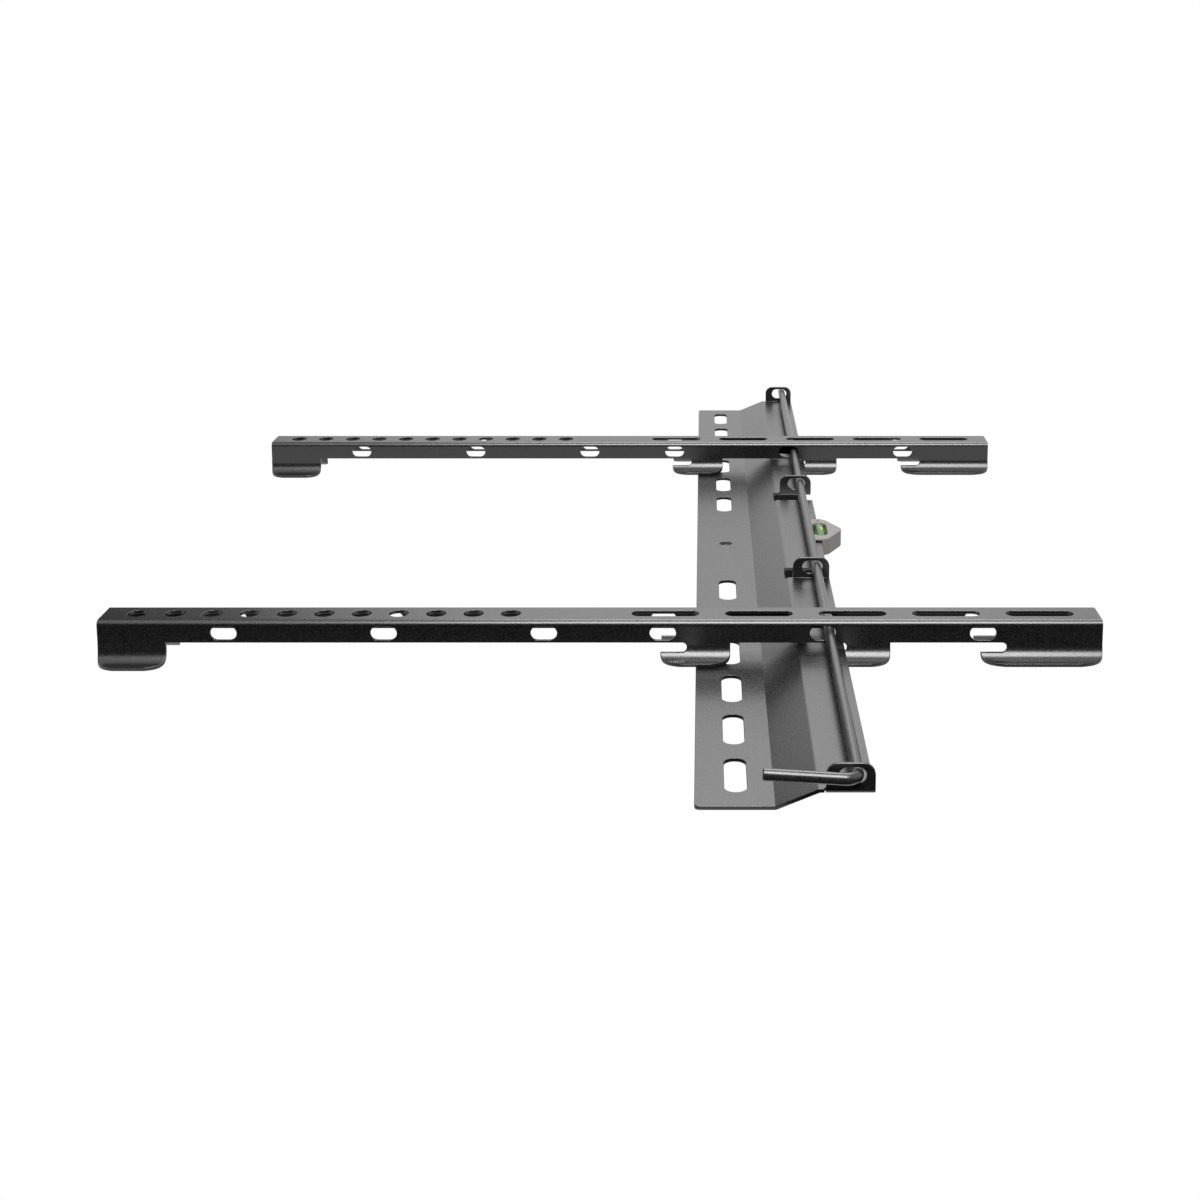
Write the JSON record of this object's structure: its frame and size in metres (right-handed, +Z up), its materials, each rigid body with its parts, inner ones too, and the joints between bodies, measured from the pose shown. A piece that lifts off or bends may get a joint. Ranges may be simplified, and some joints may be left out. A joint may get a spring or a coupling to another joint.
{
  "type": "fixed television wall bracket",
  "caption": "Slim television wall bracket: a folded, slotted wall plate, hooked channel arms that hang on it, a round locking bar and a small spirit level.",
  "frame": {"origin": "on the wall's face, at the middle of the row of wall slots", "axes": "+X along the wall plate, to the right seen from the front; +Y into the wall; +Z up"},
  "size_m": [0.6528, 0.02, 0.4321],
  "materials": {
    "plate_paint": "satin black powder coat",
    "arm_paint": "satin black powder coat",
    "bar_paint": "satin black coat",
    "level_plastic": "matt warm grey",
    "clear_plastic": "clear polished",
    "green_liquid": "clear green-yellow",
    "air_bubble": "clear"
  },
  "bodies": {
    "plate": {"wall_plate": "plate_paint", "level_housing": "level_plastic", "level_vial": "clear_plastic", "level_liquid": "green_liquid", "level_bubble": "air_bubble"},
    "arm_right": {"right_arm": "arm_paint"},
    "arm_left": {"left_arm": "arm_paint"},
    "bar": {"locking_bar": "bar_paint"}
  },
  "joints": [
    {"name": "right_arm_slide", "type": "slide", "parent": "plate", "child": "arm_right", "axis": [1, 0, 0], "range_m": [-0.0773, 0.1421]},
    {"name": "left_arm_slide", "type": "slide", "parent": "plate", "child": "arm_left", "axis": [1, 0, 0], "range_m": [-0.1506, 0.0688]},
    {"name": "bar_slide", "type": "slide", "parent": "plate", "child": "bar", "axis": [1, 0, 0], "range_m": [0, 0.64]}
  ]
}
